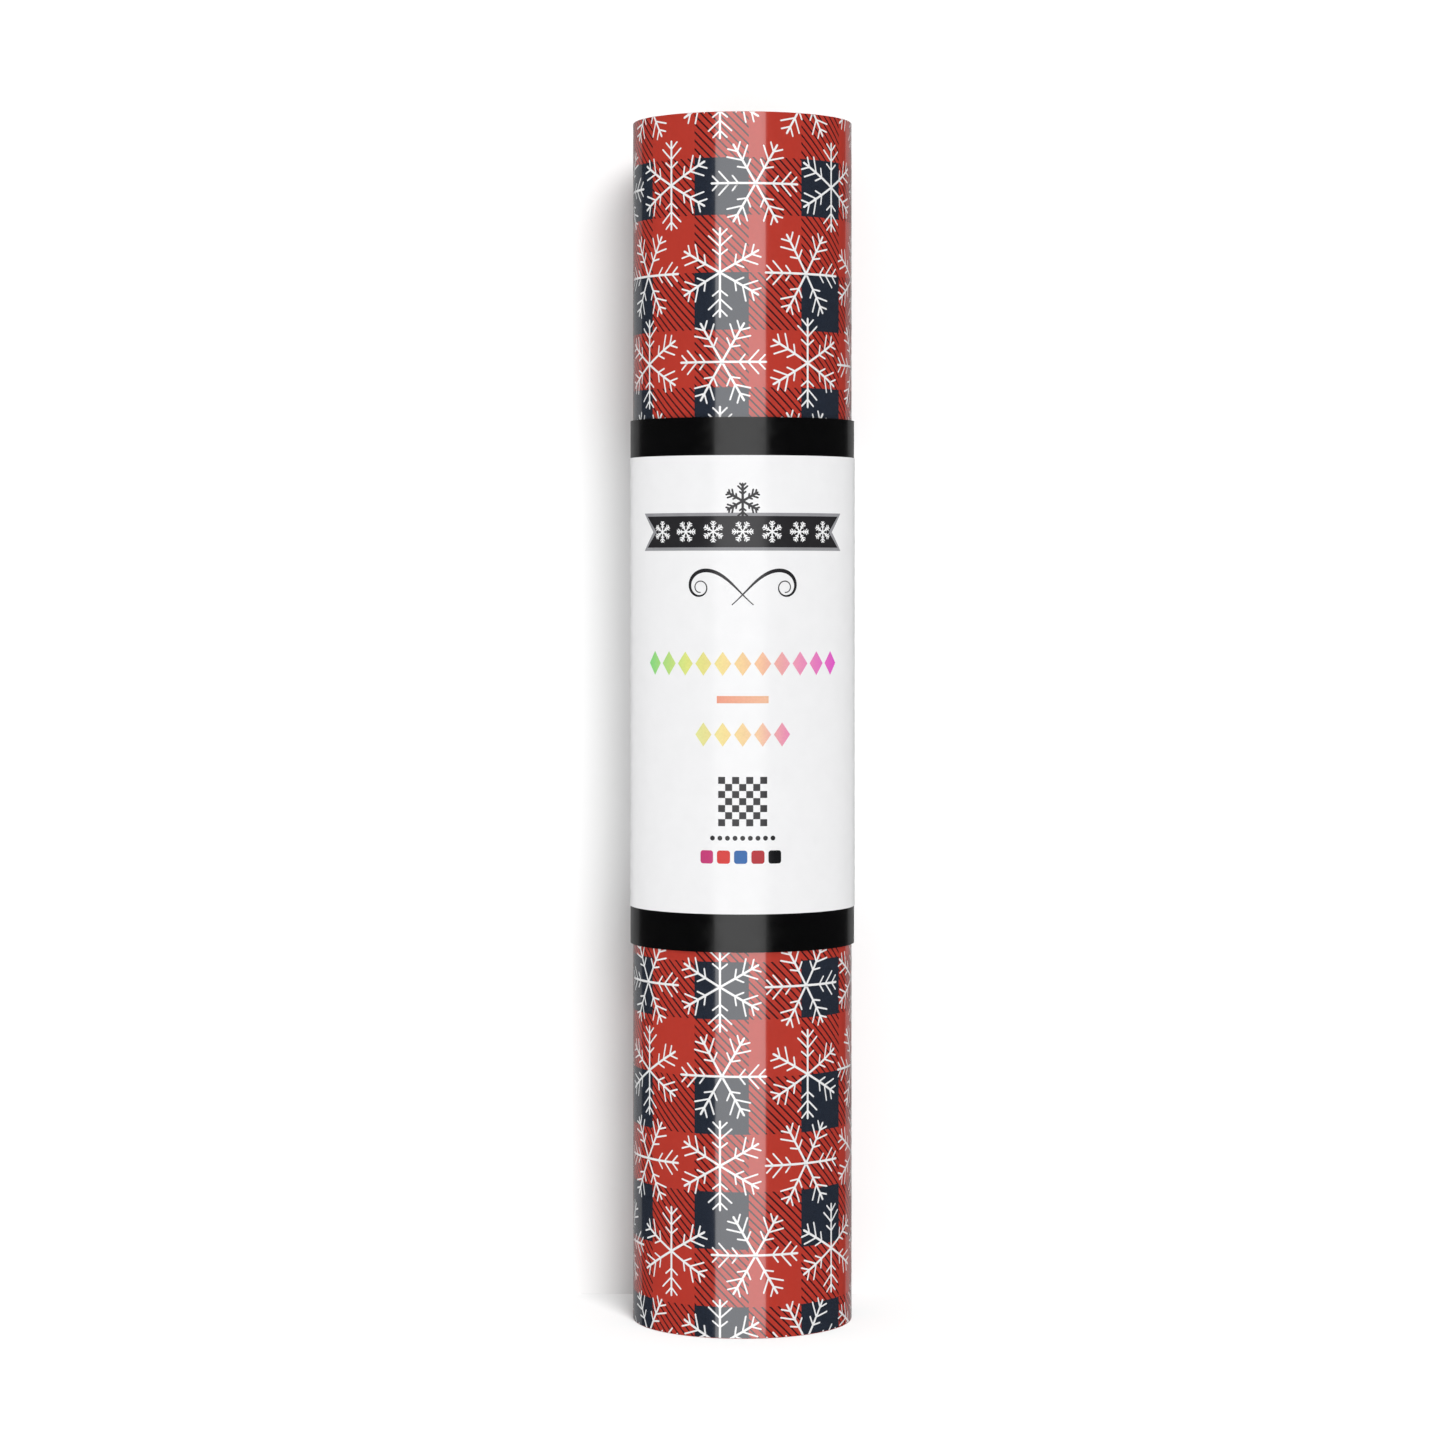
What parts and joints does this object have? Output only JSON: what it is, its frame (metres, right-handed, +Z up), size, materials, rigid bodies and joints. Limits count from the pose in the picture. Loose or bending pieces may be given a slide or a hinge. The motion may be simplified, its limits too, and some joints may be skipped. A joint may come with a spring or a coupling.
{
  "type": "roll of printed wrapping film",
  "caption": "Upright roll of glossy checked snowflake film wound on a paperboard core, held shut by a black paper band and a white label that slide off along it.",
  "frame": {"origin": "middle of the roll's lower end, on the axis of its core", "axes": "+Z up along the roll's axis, -Y to the front, where the label's print faces; +Y to the back, where the seams are"},
  "size_m": [0.0575, 0.0575, 0.305],
  "materials": {
    "paperboard": "matte spiral-wound kraft board",
    "tape": "clear adhesive tape",
    "printed_film": "glossy printed film",
    "black_paper": "glossy black coated paper",
    "label_paper": "glossy white coated paper",
    "adhesive": "dried clear adhesive"
  },
  "bodies": {
    "roll": {"core_tube": "paperboard", "core_tape": "tape", "printed_film": "printed_film", "tail_tab_upper": "tape", "tail_tab_lower": "tape"},
    "band": {"black_band": "black_paper", "band_glue_strip": "adhesive", "white_label": "label_paper", "label_glue_strip": "adhesive"}
  },
  "joints": [
    {"name": "band_slide", "type": "slide", "parent": "roll", "child": "band", "axis": [0, 0, 1], "range_m": [-0.095, 0.215]}
  ]
}
